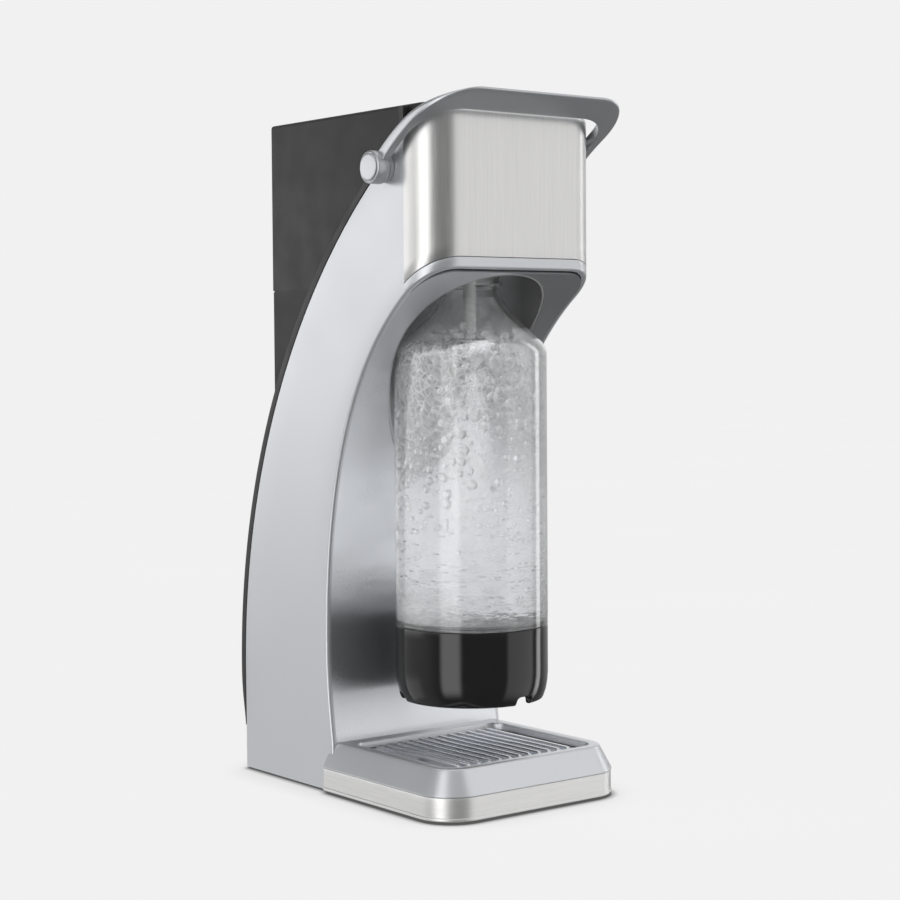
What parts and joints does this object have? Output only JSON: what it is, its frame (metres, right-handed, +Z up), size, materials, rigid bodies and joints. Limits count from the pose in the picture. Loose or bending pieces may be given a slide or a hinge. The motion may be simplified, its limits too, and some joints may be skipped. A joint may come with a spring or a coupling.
{
  "type": "sparkling water maker",
  "caption": "Countertop lever carbonator: C-shaped silver body, steel-covered head, black rear gas housing, pull-down lever, clear bottle hung over a slotted drip tray.",
  "frame": {"origin": "on the table, at the middle of the machine's bounding box seen from above", "axes": "+Z up, front of the machine towards -Y, +X to the right seen from the front"},
  "size_m": [0.1484, 0.2164, 0.393],
  "materials": {
    "silver_paint": "satin metallic silver paint",
    "arch_silver": "satin metallic silver paint, slightly darker",
    "steel_cover": "fine vertical brushing",
    "steel_skirt": "fine horizontal brushing",
    "lever_metal": "satin cast and polished",
    "charcoal": "fine moulded grain",
    "black_liner": "semi-matt black",
    "pocket_dark": "matt grey",
    "grille_silver": "satin silver",
    "pan_grey": "satin grey",
    "clear_plastic": "clear polymer",
    "gloss_black": "gloss black",
    "rubber_black": "soft matt rubber",
    "steel_plain": "plain steel",
    "steel_black": "black coated sheet steel",
    "manifold_alloy": "machined",
    "cylinder_paint": "satin lacquer",
    "brass": "machined",
    "nozzle_white": "translucent white polymer"
  },
  "bodies": {
    "chassis": {"base_plate": "steel_black", "left_side_panel": "silver_paint", "right_side_panel": "silver_paint", "left_liner": "black_liner", "right_liner": "black_liner", "arch_liner": "arch_silver", "bottle_pocket": "pocket_dark", "front_cover": "steel_cover", "front_trim": "silver_paint", "head_frame": "black_liner", "rear_housing": "charcoal", "tray_skirt": "steel_skirt", "tray_frame": "silver_paint", "feet": "rubber_black", "pivot_bushes": "lever_metal", "return_spring": "steel_plain", "rocker_pin": "steel_plain", "mechanism_frame": "steel_black", "valve_spring": "steel_plain", "gas_manifold": "manifold_alloy", "manifold_gasket": "rubber_black", "cylinder_cradle": "charcoal", "gas_tube": "nozzle_white", "gas_swivel": "brass", "relief_valve": "brass", "relief_spring": "steel_plain", "base_screws": "steel_plain", "frame_screws": "steel_plain", "manifold_screws": "steel_plain"},
    "lever": {"lever": "lever_metal", "lever_shaft": "steel_plain", "pivot_caps": "lever_metal", "lever_crank": "steel_plain"},
    "rocker": {"rocker_arm": "steel_plain"},
    "plunger": {"valve_plunger": "steel_plain", "valve_pin": "brass"},
    "relief": {"relief_poppet": "rubber_black"},
    "bottle_head": {"carbonating_head": "pocket_dark", "nozzle_tube": "nozzle_white", "bottle_gasket": "rubber_black"},
    "bottle": {"bottle": "clear_plastic", "bottle_base_cup": "gloss_black"},
    "pan": {"drip_pan": "pan_grey"},
    "grille": {"drip_grille": "grille_silver"},
    "rear_cover": {"rear_cover": "charcoal"},
    "gas_cylinder": {"co2_cylinder": "cylinder_paint", "cylinder_valve": "brass"}
  },
  "joints": [
    {"name": "lever_pull", "type": "hinge", "parent": "chassis", "child": "lever", "pos_m": [0, -0.04605, 0.3538], "axis": [1, 0, 0], "range_deg": [0, 35], "stiffness_Nm_per_rad": 1, "springref_deg": -20.05},
    {"name": "rocker_tilt", "type": "hinge", "parent": "chassis", "child": "rocker", "pos_m": [0, 0.02625, 0.366], "axis": [1, 0, 0], "range_deg": [-8.6, 0.2], "deforming": ["return_spring"]},
    {"name": "valve_press", "type": "slide", "parent": "chassis", "child": "plunger", "axis": [0, 0, -1], "range_m": [0, 0.0035], "deforming": ["valve_spring"]},
    {"name": "head_tilt", "type": "hinge", "parent": "chassis", "child": "bottle_head", "pos_m": [0, -0.04065, 0.32], "axis": [-1, 0, 0], "range_deg": [0, 12]},
    {"name": "bottle_release", "type": "slide", "parent": "bottle_head", "child": "bottle", "axis": [0, 0, -1], "range_m": [0, 0.008]},
    {"name": "pan_lift", "type": "slide", "parent": "chassis", "child": "pan", "axis": [0, 0, 1], "range_m": [0, 0.008]},
    {"name": "grille_lift", "type": "slide", "parent": "pan", "child": "grille", "axis": [0, 0, 1], "range_m": [0, 0.008]},
    {"name": "cover_pull", "type": "slide", "parent": "chassis", "child": "rear_cover", "axis": [0, 1, 0], "range_m": [0, 0.06]},
    {"name": "relief_lift", "type": "slide", "parent": "chassis", "child": "relief", "axis": [0, 0, 1], "range_m": [0, 0.0012], "stiffness_N_per_m": 600, "springref_m": -0.003, "deforming": ["relief_spring"]},
    {"name": "cylinder_turn", "type": "hinge", "parent": "chassis", "child": "gas_cylinder", "pos_m": [0, 0.04925, 0.2], "axis": [0, 0, 1], "range_deg": [0, 360]}
  ],
  "couplings": [
    {"joint": "rocker_tilt", "follows": "lever_pull", "ratio": -0.241},
    {"joint": "valve_press", "follows": "lever_pull", "m_per_rad": 0.00554}
  ]
}
